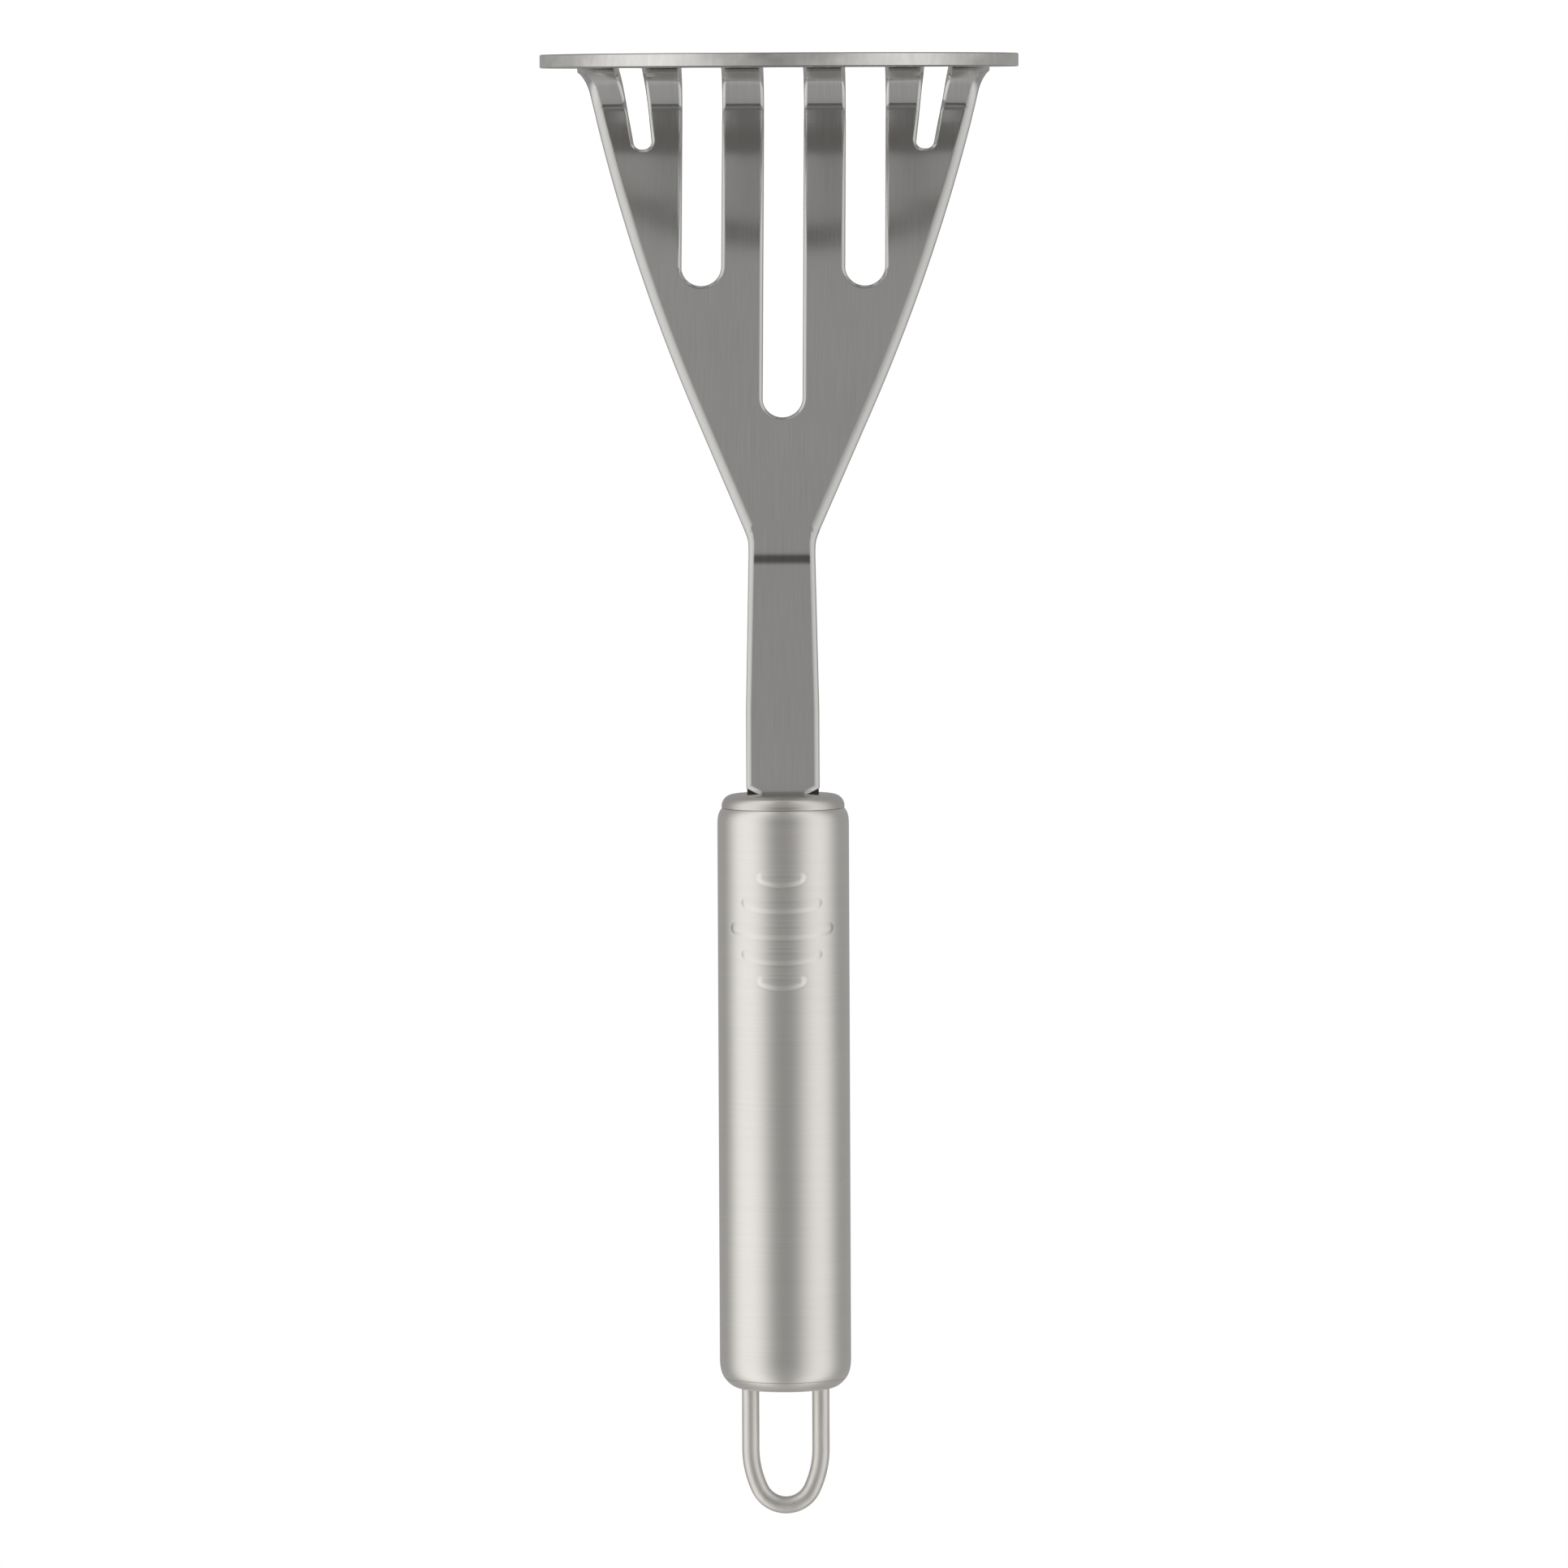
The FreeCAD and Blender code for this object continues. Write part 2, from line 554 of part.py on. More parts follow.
def loop_welds():
    """A fillet weld round each leg of the loop, on the inside of the end cap."""
    inner_z = HANDLE_Z1 - CAP_WALL
    leg = 1.3
    welds = []
    for x in (-LEG_X, LEG_X):
        section = face_of([
            line((WIRE_R, 0, inner_z), (WIRE_R + leg, 0, inner_z)),
            arc(
                (WIRE_R + leg, 0, inner_z),
                (WIRE_R + 0.62 * leg, 0, inner_z - 0.62 * leg),
                (WIRE_R, 0, inner_z - leg),
            ),
            line((WIRE_R, 0, inner_z - leg), (WIRE_R, 0, inner_z)),
        ])
        ring = section.revolve(ORIGIN, AXIS_Z, 360)
        ring.translate(Vec(x, 0, 0))
        welds.append(ring)
    return Part.makeCompound(welds)


def end_seam_weld():
    """The weld that closes the end cap's joint, ground flush with the tube and the cap."""
    weld_r = SEAM_R - SEAM_GROOVE
    return turned(closed_profile([
        (weld_r, END_SEAM_Z),
        (SEAM_R, END_SEAM_Z - SEAM_GROOVE),
        (SEAM_R, END_SEAM_Z + SEAM_GROOVE),
    ]))


PIECES = {
    "masher_head": masher_head,
    "neck_cap": neck_cap,
    "handle_tube": handle_tube,
    "end_cap": end_cap,
    "hanging_loop": hanging_loop,
    "tang_welds": tang_welds,
    "loop_welds": loop_welds,
    "end_seam_weld": end_seam_weld,
}


def main():
    os.makedirs("parts", exist_ok=True)
    for name, make in PIECES.items():
        shape = make()
        shape.translate(TO_FRAME)
        box = shape.BoundBox
        print(
            f"{name}: {len(shape.Solids)} solid(s), valid {shape.isValid()}, "
            f"{shape.Volume / 1000:.2f} cm3, "
            f"x {box.XMin:.2f}..{box.XMax:.2f}  y {box.YMin:.2f}..{box.YMax:.2f}  "
            f"z {box.ZMin:.2f}..{box.ZMax:.2f}"
        )
        shape.exportStep(os.path.join("parts", name + ".step"))


main()
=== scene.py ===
import math

import bmesh
import bpy
from mathutils import Matrix, Quaternion, Vector
from mathutils.geometry import interpolate_bezier, intersect_line_line_2d


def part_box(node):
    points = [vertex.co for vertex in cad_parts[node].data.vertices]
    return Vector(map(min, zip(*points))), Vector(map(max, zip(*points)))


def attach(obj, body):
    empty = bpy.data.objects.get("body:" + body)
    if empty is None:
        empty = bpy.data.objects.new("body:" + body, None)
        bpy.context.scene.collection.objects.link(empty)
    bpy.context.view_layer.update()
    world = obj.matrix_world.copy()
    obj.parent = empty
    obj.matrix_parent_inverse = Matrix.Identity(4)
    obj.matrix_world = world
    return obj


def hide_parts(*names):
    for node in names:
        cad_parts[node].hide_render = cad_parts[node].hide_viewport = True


# Potato masher, all stainless steel, standing on its mash plate with the handle upright.
# Shapes are drawn in millimetres in the row frame and scaled to metres as they are finished.
# The masher head is drawn flat, as the blank is cut, then given its thickness and rounded
# edges, and then bent at the heel and at the neck.

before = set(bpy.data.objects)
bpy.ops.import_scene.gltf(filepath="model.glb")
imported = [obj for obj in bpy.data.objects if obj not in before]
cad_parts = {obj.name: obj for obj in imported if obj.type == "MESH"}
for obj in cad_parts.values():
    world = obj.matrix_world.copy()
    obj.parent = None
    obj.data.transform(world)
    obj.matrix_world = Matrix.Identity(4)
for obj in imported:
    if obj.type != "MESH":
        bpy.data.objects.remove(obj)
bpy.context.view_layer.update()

MM = 0.001


def millimetres(node):
    """A CAD node's lowest and highest corners, in millimetres."""
    low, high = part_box(node)
    return low / MM, high / MM


head_high = millimetres("masher_head")[1]
tube_low, tube_high = millimetres("handle_tube")
neck_cap_low, neck_cap_high = millimetres("neck_cap")
end_cap_low, end_cap_high = millimetres("end_cap")
loop_low, loop_high = millimetres("hanging_loop")

# ---- the sheet and its two bends ----
SHEET = 2.5
PLATE_R = head_high.x
AXIS_Y = (neck_cap_low.y + neck_cap_high.y) / 2
HEEL_R = 7.75            # middle radius of the heel bend
NECK_BEND_R = 18.0       # middle radius of the neck bend
LEAN = math.radians(14.7)
HEEL_TURN = math.pi / 2 + LEAN
HEEL_CENTRE_Z = SHEET / 2 + HEEL_R
NECK_CORNER_Z = 92.0
NECK_TANGENT = NECK_BEND_R * math.tan(LEAN / 2)

HEEL_TOP_Z = HEEL_CENTRE_Z - HEEL_R * math.cos(HEEL_TURN)
HEEL_Y = AXIS_Y + (NECK_CORNER_Z - HEEL_TOP_Z) * math.tan(LEAN) - HEEL_R * math.sin(HEEL_TURN)

# Distances along the flat blank, from the plate's centre: where each bend starts and ends.
HEEL_START = HEEL_Y
HEEL_END = HEEL_START + HEEL_R * HEEL_TURN
FAN_LENGTH = (NECK_CORNER_Z - NECK_TANGENT * math.cos(LEAN) - HEEL_TOP_Z) / math.cos(LEAN)
NECK_START = HEEL_END + FAN_LENGTH
NECK_END = NECK_START + NECK_BEND_R * LEAN
NECK_END_Z = NECK_CORNER_Z + NECK_TANGENT

# ---- slots ----
RING_R = PLATE_R - 5.5
BAND_FRONT = -6.4
BAND_BACK = 1.6
SLOT_PITCH = 15.2
REAR_SLOT_W = 7.45
BAR_W = 3.4

MIDDLE_SLOT_TOP = 67.2
SIDE_SLOT_TOP = 43.0
OUTER_SLOT_TOP = 17.7

# ---- outline and edges ----
SHOULDER_Y = 12.0        # where the round of the plate gives way to the heel's sides
FORMING_T = 4.0          # thickness that the blank has while its edges are rounded
SLOT_SOFT = 0.75         # how far in from a slot's edge the sheet is rounded over
PLATE_SOFT = 0.3         # the same at the plate's own edge
FAN_SOFT = 1.6           # how much more of it the fan's edges have
NECK_LESS = 0.8          # and how much less again the neck's


# ------------------------------------------------------------------ drawing flat outlines

def line(start, end):
    a, b = Vector(start), Vector(end)
    return [(a, a.lerp(b, 1 / 3), a.lerp(b, 2 / 3), b)]


def sweep(start, start_handle, end_handle, end):
    return [(Vector(start), Vector(start_handle), Vector(end_handle), Vector(end))]


def arc(centre, radius, start_angle, end_angle):
    """Part of a circle, drawn with one curve for each eighth of a turn or less."""
    count = max(1, math.ceil(abs(end_angle - start_angle) / math.radians(45)))
    step = (end_angle - start_angle) / count
    reach = 4 / 3 * math.tan(step / 4) * radius
    centre = Vector(centre)
    curves = []
    for index in range(count):
        a = start_angle + index * step
        b = a + step
        out_a, out_b = Vector((math.cos(a), math.sin(a))), Vector((math.cos(b), math.sin(b)))
        start, end = centre + radius * out_a, centre + radius * out_b
        curves.append((
            start, start + reach * out_a.orthogonal(), end - reach * out_b.orthogonal(), end,
        ))
    return curves


def arc_through(start, middle, end):
    """The circle's arc that runs through three points."""
    start, middle, end = Vector(start), Vector(middle), Vector(end)
    first, second = middle - start, end - middle
    first_mid, second_mid = (start + middle) / 2, (middle + end) / 2
    reach = 1000
    centre = intersect_line_line_2d(
        first_mid - reach * first.orthogonal(), first_mid + reach * first.orthogonal(),
        second_mid - reach * second.orthogonal(), second_mid + reach * second.orthogonal(),
    )
    start_out, end_out = start - centre, end - centre
    start_angle = math.atan2(start_out.y, start_out.x)
    turn = -start_out.angle_signed(end_out)
    return arc(centre, start_out.length, start_angle, start_angle + turn)


def rounded(corners):
    """A closed outline of straight sides, from (x, along, corner radius)."""
    places = [Vector(corner[:2]) for corner in corners]
    bends = []
    for index, (_, _, radius) in enumerate(corners):
        here, before, after = places[index], places[index - 1], places[(index + 1) % len(places)]
        way_in, way_out = (here - before).normalized(), (after - here).normalized()
        turn = way_in.angle(way_out)
        cut = radius * math.tan(turn / 2)
        reach = 4 / 3 * math.tan(turn / 4) * radius
        start, end = here - cut * way_in, here + cut * way_out
        bends.append((start, start + reach * way_in, end - reach * way_out, end))
    curves = []
    for index, bend in enumerate(bends):
        curves.append(bend)
        following = bends[(index + 1) % len(bends)][0]
        if (following - bend[3]).length > 0.02:
            curves += line(bend[3], following)
    return curves


def mirrored(curves):
    """The same curves on the other side, running the other way."""
    return [tuple(Vector((-p.x, p.y)) for p in reversed(curve)) for curve in reversed(curves)]


def add_outline(drawing, curves, smoothness):
    spline = drawing.splines.new("BEZIER")
    spline.use_cyclic_u = True
    spline.resolution_u = smoothness
    spline.bezier_points.add(len(curves) - 1)
    for index, point in enumerate(spline.bezier_points):
        point.co = curves[index][0].to_3d()
        point.handle_right = curves[index][1].to_3d()
        point.handle_left = curves[index - 1][2].to_3d()


# ------------------------------------------------------------------ masher head

def along_plan(y):
    """Distance along the blank of a place on the plate or the first part of the heel."""
    if y <= HEEL_START:
        return y
    return HEEL_START + HEEL_R * math.asin((y - HEEL_START) / HEEL_R)


def along_front(z):
    """Distance along the blank of a height on the heel, the fan, the neck or the tang."""
    if z < HEEL_TOP_Z:
        return HEEL_START + HEEL_R * math.acos((HEEL_CENTRE_Z - z) / HEEL_R)
    if z < NECK_END_Z:
        return HEEL_END + (z - HEEL_TOP_Z) / math.cos(LEAN)
    return NECK_END + z - NECK_END_Z


def head_outline():
    """The blank's right-hand edge, from the front of the plate to the end of the tang."""
    shoulder_pull, heel_pull = 3.2, 0.4
    shoulder_angle = math.asin(SHOULDER_Y / PLATE_R)
    shoulder = PLATE_R * Vector((math.cos(shoulder_angle), math.sin(shoulder_angle)))
    shoulder_way = Vector((-math.sin(shoulder_angle), math.cos(shoulder_angle)))
    heel_w = 38.3
    heel_from = (heel_w, along_plan(20.41))
    heel_to = (heel_w, along_front(3.0))
    foot = (36.15, along_front(7.0))
    bulge = (29.25, along_front(32.0))
    straight = (16.46, along_front(66.0))
    tip_w, tip_s, tip_round = 6.15, along_front(89.55), 3.0
    tip = Vector((tip_w, tip_s))
    fan_end = tip + tip_round * (Vector(straight) - tip).normalized()
    neck_from = (tip_w, tip_s + tip_round)
    neck_w, tang_w, corner_cut = 6.75, 4.8, 1.1
    neck_widest = (neck_w, along_front(121.0))
    cap_s = along_front(neck_cap_low.z)
    neck_to = (neck_w, cap_s - corner_cut)
    tang_from = (tang_w, cap_s)
    return (
        arc((0, 0), PLATE_R, -math.pi / 2, shoulder_angle)
        + sweep(
            shoulder, shoulder + shoulder_pull * shoulder_way,
            (heel_w + heel_pull, along_plan(16.01)), heel_from,
        )
        + line(heel_from, heel_to)
        + sweep(
            heel_to, (heel_w - 0.9, along_front(4.0)),
            (foot[0] + 0.45, along_front(5.2)), foot,
        )
        + arc_through(foot, bulge, straight)
        + line(straight, fan_end)
        + sweep(fan_end, (tip_w, tip_s), (tip_w, tip_s), neck_from)
        + line(neck_from, neck_widest)
        + line(neck_widest, neck_to)
        + line(neck_to, tang_from)
        + line(tang_from, (tang_w, along_front(head_high.z)))
    )


def rear_slot(x, top):
    half = REAR_SLOT_W / 2
    end = along_front(top)
    return rounded([
        (x - half, BAND_BACK, half), (x + half, BAND_BACK, half),
        (x + half, end, half), (x - half, end, half),
    ])


def outer_slot():
    """The small slanted slot, on the right-hand side."""
    end = along_front(OUTER_SLOT_TOP)
    return rounded([
        (27.2, BAND_BACK, 2.3), (32.45, BAND_BACK, 2.6), (30.6, along_front(3.0), 6.0),
        (27.7, end, 1.45), (24.4, end, 1.5), (26.1, along_front(3.0), 6.0),
    ])


def front_slot(left, right):
    """An opening between two bars, from the cross band to the ring."""
    band_corner, ring_corner = 3.0, 1.3
    ring_side = math.sqrt(RING_R ** 2 - BAND_FRONT ** 2)
    start = -math.acos(left / RING_R)
    end = -math.acos(min(right, ring_side) / RING_R)
    middle = (start + end) / 2
    out = RING_R / math.cos((end - start) / 2)
    spare = 2.6 if right < ring_side else 3.0    # kept at each end for the ring corners
    bow = (RING_R * math.tan((end - start) / 2) - spare) / math.tan((end - start) / 2)
    corners = [
        (left, BAND_FRONT, band_corner),
        (left, RING_R * math.sin(start), ring_corner),
        (out * math.cos(middle), out * math.sin(middle), bow),
        (RING_R * math.cos(end), RING_R * math.sin(end), ring_corner),
    ]
    if right < ring_side:
        corners.append((right, BAND_FRONT, band_corner))
    return rounded(corners)


def head_blank():
    """The flat outline with every slot in it, filled in."""
    drawing = bpy.data.curves.new("head_blank", "CURVE")
    drawing.dimensions = "2D"
    drawing.fill_mode = "BOTH"
    outline_steps, slot_steps = 20, 10
    right_edge = head_outline()
    end_line = line(right_edge[-1][3], Vector((-right_edge[-1][3].x, right_edge[-1][3].y)))
    add_outline(drawing, right_edge + end_line + mirrored(right_edge), outline_steps)
    half_bar = BAR_W / 2
    sides = [
        rear_slot(SLOT_PITCH, SIDE_SLOT_TOP), outer_slot(),
        front_slot(SLOT_PITCH / 2 + half_bar, 1.5 * SLOT_PITCH - half_bar),
        front_slot(1.5 * SLOT_PITCH + half_bar, PLATE_R),
    ]
    middles = [
        rear_slot(0, MIDDLE_SLOT_TOP),
        front_slot(half_bar - SLOT_PITCH / 2, SLOT_PITCH / 2 - half_bar),
    ]
    for slot in middles + sides + [mirrored(side) for side in sides]:
        add_outline(drawing, slot, slot_steps)
    # The fill goes wrong where many points share one height, so it is done at a slant.
    slant_angle = 0.37
    slant = Matrix.Rotation(slant_angle, 4, "Z")
    drawing.transform(slant)
    holder = bpy.data.objects.new("head_blank", drawing)
    blank = bpy.data.meshes.new_from_object(holder)
    bpy.data.objects.remove(holder)
    blank.transform(slant.inverted())
    return blank


def bent(point):
    """Where a point of the flat blank ends up once the heel and the neck are bent."""
    x, s, rise = point
    if s <= HEEL_START:
        return Vector((x, s, SHEET / 2 + rise))
    if s <= NECK_START:
        turn = min((s - HEEL_START) / HEEL_R, HEEL_TURN)
        ahead = max(0.0, s - HEEL_END)
        return Vector((
            x,
            HEEL_Y + (HEEL_R - rise) * math.sin(turn) + ahead * math.cos(turn),
            HEEL_CENTRE_Z - (HEEL_R - rise) * math.cos(turn) + ahead * math.sin(turn),
        ))
    lean = max(0.0, LEAN - (s - NECK_START) / NECK_BEND_R)
    above = max(0.0, s - NECK_END)
    radius = NECK_BEND_R + rise
    return Vector((
        x,
        AXIS_Y + NECK_BEND_R - radius * math.cos(lean),
        NECK_END_Z - radius * math.sin(lean) + above,
    ))


def edge_softness(place, on_slot):
    """How far in from the edge the pressed sheet is rounded over, at a place on the blank."""
    if on_slot:
        return SLOT_SOFT
    fan_from, fan_reach = 10.0, 14.0
    neck_lead, neck_reach = 12.0, 16.0
    into_fan = min(1.0, max(0.0, (place.y - fan_from) / fan_reach))
    into_neck = min(1.0, max(0.0, (place.y - NECK_START + neck_lead) / neck_reach))
    return PLATE_SOFT + FAN_SOFT * into_fan - NECK_LESS * into_neck


def whole_loop(edge, edges):
    """Every one of the given edges that is joined to this one."""
    found, waiting = {edge}, [edge]
    while waiting:
        for vert in waiting.pop().verts:
            fresh = [e for e in vert.link_edges if e in edges and e not in found]
            found.update(fresh)
            waiting += fresh
    return found


def link_openings(bm):
    """Redraws the flat face with few edges, each of which meets the openings squarely."""
    rear_cut, front_cut = HEEL_START + 4.0, -20.0
    cuts = (
        (Vector((0, 0, 0)), Vector((1, 0, 0))),
        (Vector((0, rear_cut, 0)), Vector((0, 1, 0))),
        (Vector((0, front_cut, 0)), Vector((0, 1, 0))),
    )
    for place, across in cuts:
        bmesh.ops.bisect_plane(
            bm, geom=bm.verts[:] + bm.edges[:] + bm.faces[:], dist=0.0001,
            plane_co=place, plane_no=across,
        )
        for edge in bm.edges:
            on_cut = all(abs((v.co - place).dot(across)) < 0.001 for v in edge.verts)
            if on_cut and not edge.is_boundary:
                edge.seam = True
    bmesh.ops.dissolve_limit(
        bm, angle_limit=math.radians(0.2), verts=bm.verts, edges=bm.edges, delimit={"SEAM"},
    )
    for edge in bm.edges:
        edge.seam = False


def thick_blank():
    """The blank with its rounded edges, still flat, and FORMING_T thick.

    It is pressed down to the sheet's thickness later, which leaves the edges broad and shallow.
    """
    bm = bmesh.new()
    bm.from_mesh(head_blank())
    bmesh.ops.remove_doubles(bm, verts=bm.verts, dist=0.004)
    link_openings(bm)
    bmesh.ops.translate(bm, verts=bm.verts, vec=(0, 0, -FORMING_T / 2))
    grown = bmesh.ops.extrude_face_region(bm, geom=bm.faces[:])["geom"]
    top = [v for v in grown if isinstance(v, bmesh.types.BMVert)]
    bmesh.ops.translate(bm, verts=top, vec=(0, 0, FORMING_T))
    bmesh.ops.recalc_face_normals(bm, faces=bm.faces)
    widest = 1.9
    weight = bm.edges.layers.float.new("bevel_weight_edge")
    for height in (-1, 1):
        rims = {
            e for e in bm.edges
            if all(v.co.z * height > 0 for v in e.verts)
            and any(abs(f.normal.z) < 0.5 for f in e.link_faces)
        }
        far_edge = max(rims, key=lambda e: e.verts[0].co.y)
        outside = whole_loop(far_edge, rims)
        for edge in rims:
            middle = (edge.verts[0].co + edge.verts[1].co) / 2
            edge[weight] = edge_softness(middle, edge not in outside) / widest
    mesh = bpy.data.meshes.new("head_flat")
    bm.to_mesh(mesh)
    bm.free()
    flat = bpy.data.objects.new("head_flat", mesh)
    bpy.context.collection.objects.link(flat)
    bevel = flat.modifiers.new("edges", "BEVEL")
    bevel.limit_method = "WEIGHT"
    bevel.width = widest
    bevel.segments = 6
    bevel.profile = 0.38
    bevel.loop_slide = False
    bevel.use_clamp_overlap = False
    done = bpy.data.meshes.new_from_object(
        flat.evaluated_get(bpy.context.evaluated_depsgraph_get())
    )
    bpy.data.objects.remove(flat)
    return done


def masher_head():
    bm = bmesh.new()
    bm.from_mesh(thick_blank())
    bmesh.ops.scale(bm, verts=bm.verts, vec=(1, 1, SHEET / FORMING_T))
    heel_cuts, neck_cuts = 26, 10
    heel_length, neck_length = HEEL_END - HEEL_START, NECK_END - NECK_START
    cuts = [HEEL_START + heel_length * i / heel_cuts for i in range(heel_cuts + 1)]
    cuts += [NECK_START + neck_length * i / neck_cuts for i in range(neck_cuts + 1)]
    for s in cuts:
        bmesh.ops.bisect_plane(
            bm, geom=bm.verts[:] + bm.edges[:] + bm.faces[:], dist=0.001,
            plane_co=(0, s, 0), plane_no=(0, 1, 0),
        )
    grain = bm.loops.layers.uv.new("grain")
    rim_depth, rim_end = 0.3, SHOULDER_Y + 1.0
    upright = 0.3            # a face this near to upright is on the cut edge
    wrap = 0.7               # how much of the sheet's thickness the grain map wraps round
    for face in bm.faces:
        face.smooth = True
        middle = face.calc_center_median()
        on_rim = middle.xy.length > PLATE_R - rim_depth and middle.y < rim_end
        face.material_index = 1 if on_rim and abs(face.normal.z) < upright else 0
        for loop in face.loops:
            x, s, rise = loop.vert.co
            loop[grain].uv = (x + wrap * rise, s)
    for vert in bm.verts:
        vert.co = bent(vert.co)
    return bm


# ------------------------------------------------------------------ handle

TUBE_R = tube_high.x
TUBE_WALL = 0.7
SEAM_R = 11.36
MOUTH_H = 3.1
RIB_PITCH = 4.74
RIB_GROUP_Z = 161.0
RIB_RISE = 0.17
RIBS = ((21.5, 1.30), (37.5, 1.40), (50.5, 1.48), (37.5, 1.40), (21.5, 1.30))
RIB_ZONE = (149.5, 175.0)


def eased(value, low, high):
    """0 below low, 1 above high, and a smooth step between."""
    share = min(1.0, max(0.0, (value - low) / (high - low)))
    return share * share * (3 - 2 * share)


def rib_depth(reach, height):
    """How deep inside a rib's outline a place is, in millimetres; outside it is negative.

    reach is the distance round the tube from the front, height is above the plate.
    """
    nothing = -10.0          # well outside every rib
    top_fall, bottom_fall = 0.95, 0.10
    corner_r = 1.15
    deepest = nothing
    for index, (half_angle, half_h) in enumerate(RIBS):
        middle_z = RIB_GROUP_Z + (index - 2) * RIB_PITCH
        half_reach = TUBE_R * math.radians(half_angle)
        share = min(1.0, abs(reach) / half_reach)
        top = half_h - top_fall * share ** 2.2
        bottom = -half_h + bottom_fall * share ** 3
        centre = (top + bottom) / 2
        radius = min(corner_r, (top - bottom) / 2)
        flank_x = abs(reach) - (half_reach - radius)
        flank_z = abs(height - middle_z - centre) - ((top - bottom) / 2 - radius)
        outside = math.hypot(max(flank_x, 0), max(flank_z, 0)) + min(max(flank_x, flank_z), 0)
        deepest = max(deepest, radius - outside)
    return deepest


def rib_height(reach, height):
    """The pressed rib's rise above the tube, with a fine crease round its foot."""
    foot, crest = -0.2, 0.85
    crease_depth, crease_place, crease_w = 0.025, 0.18, 0.2
    depth = rib_depth(reach, height)
    crease = crease_depth * (1 - eased(abs(depth + crease_place), 0.0, crease_w))
    return RIB_RISE * eased(depth, foot, crest) - crease


def spun(bm, profile, steps):
    """Turns a closed profile of (radius, height) points once round the handle's axis."""
    verts = [bm.verts.new((r, 0, z)) for r, z in profile]
    edges = [bm.edges.new(pair) for pair in zip(verts, verts[1:] + verts[:1])]
    dense = [e for e in edges if tuple(v.co.z for v in e.verts) == RIB_ZONE]
    rib_cuts = 150
    if dense:
        edges += [
            e for e in bmesh.ops.subdivide_edges(bm, edges=dense, cuts=rib_cuts)["geom_split"]
            if isinstance(e, bmesh.types.BMEdge) and e not in edges
        ]
    bmesh.ops.spin(
        bm, geom=bm.verts[:] + bm.edges[:], cent=(0, 0, 0), axis=(0, 0, 1),
        angle=2 * math.pi, steps=steps, use_merge=True,
    )
    bmesh.ops.remove_doubles(bm, verts=bm.verts, dist=0.0001)
    bmesh.ops.recalc_face_normals(bm, faces=bm.faces)


def mouth(inner_r, outer_r, seam_z, inward):
    """A rolled-in tube end, as points from the seam to the full radius."""
    turn_in, turn_z, settle_z = 0.12, 0.77, 1.7
    steps = 12
    points = interpolate_bezier(
        (inner_r, seam_z, 0), (outer_r - turn_in, seam_z + inward * turn_z, 0),
        (outer_r, seam_z + inward * settle_z, 0), (outer_r, seam_z + inward * MOUTH_H, 0), steps,
    )
    return [(p.x, p.y) for p in points]


def handle_tube():
    """The hollow grip with both mouths rolled in and five ribs pressed out of its front."""
    low, high = tube_low.z, tube_high.z
    inside = TUBE_R - TUBE_WALL
    lip, end_lip = 0.16, 0.3
    seam_in = SEAM_R - TUBE_WALL
    shoulder_steps = 16
    shoulder = interpolate_bezier(
        (TUBE_R, high - 3.6, 0), (TUBE_R, high - 1.9, 0),
        (SEAM_R + 0.42, high - 0.8, 0), (SEAM_R, high - 0.2, 0), shoulder_steps,
    )
    profile = (
        [(SEAM_R - lip, low)]
        + mouth(SEAM_R, TUBE_R, low + lip, 1)
        + [(TUBE_R, RIB_ZONE[0]), (TUBE_R, RIB_ZONE[1])]
        + [(p.x, p.y) for p in shoulder]
        + [(SEAM_R - end_lip, high)]
        + mouth(seam_in, inside, high, -1)
        + mouth(seam_in, inside, low, 1)[::-1]
    )
    bm = bmesh.new()
    spun(bm, profile, 300)
    near_outside = TUBE_R - 0.2
    rib_reach = math.radians(65)
    for vert in bm.verts:
        if RIB_ZONE[0] < vert.co.z < RIB_ZONE[1] and vert.co.xy.length > near_outside:
            angle = math.atan2(vert.co.x, -vert.co.y)
            if abs(angle) < rib_reach:
                rise = rib_height(TUBE_R * angle, vert.co.z)
                vert.co.xy *= (TUBE_R + rise) / TUBE_R
    grain_round(bm)
    return bm


def grain_round(bm):
    """Lays the grain map: across is up the handle, along is round it. Then moves to the axis."""
    grain = bm.loops.layers.uv.new("grain")
    for face in bm.faces:
        face.smooth = True
        middle = face.calc_center_median()
        facing = math.atan2(middle.x, -middle.y)
        for loop in face.loops:
            place = loop.vert.co
            angle = math.atan2(place.x, -place.y)
            angle += 2 * math.pi * round((facing - angle) / (2 * math.pi))
            loop[grain].uv = (place.z, angle * TUBE_R)
    bmesh.ops.translate(bm, verts=bm.verts, vec=(0, AXIS_Y, 0))


def end_cap_shell():
    """The cap at the loop's end: a shallow cup with a rounded rim and a skirt in the tube."""
    top = end_cap_high.z
    seam = tube_high.z
    rim_steps = 20
    rim = interpolate_bezier(
        (SEAM_R - 0.03, seam - 0.16, 0), (SEAM_R - 0.5, seam + 0.55, 0),
        (SEAM_R - 1.6, top, 0), (SEAM_R - 3.2, top, 0), rim_steps,
    )
    lip, clearance, wall = 0.3, 0.04, 0.9
    skirt_r = SEAM_R - TUBE_WALL - clearance
    on_axis = 0.001
    profile = (
        [(SEAM_R - lip, seam)]
        + [(p.x, p.y) for p in rim]
        + [(on_axis, top), (on_axis, top - wall), (skirt_r - wall - 1, top - wall)]
        + [(skirt_r - wall, top - wall - 1), (skirt_r - wall, end_cap_low.z)]
        + [(skirt_r, end_cap_low.z), (skirt_r, seam)]
    )
    bm = bmesh.new()
    spun(bm, profile, 160)
    grain_round(bm)
    return bm


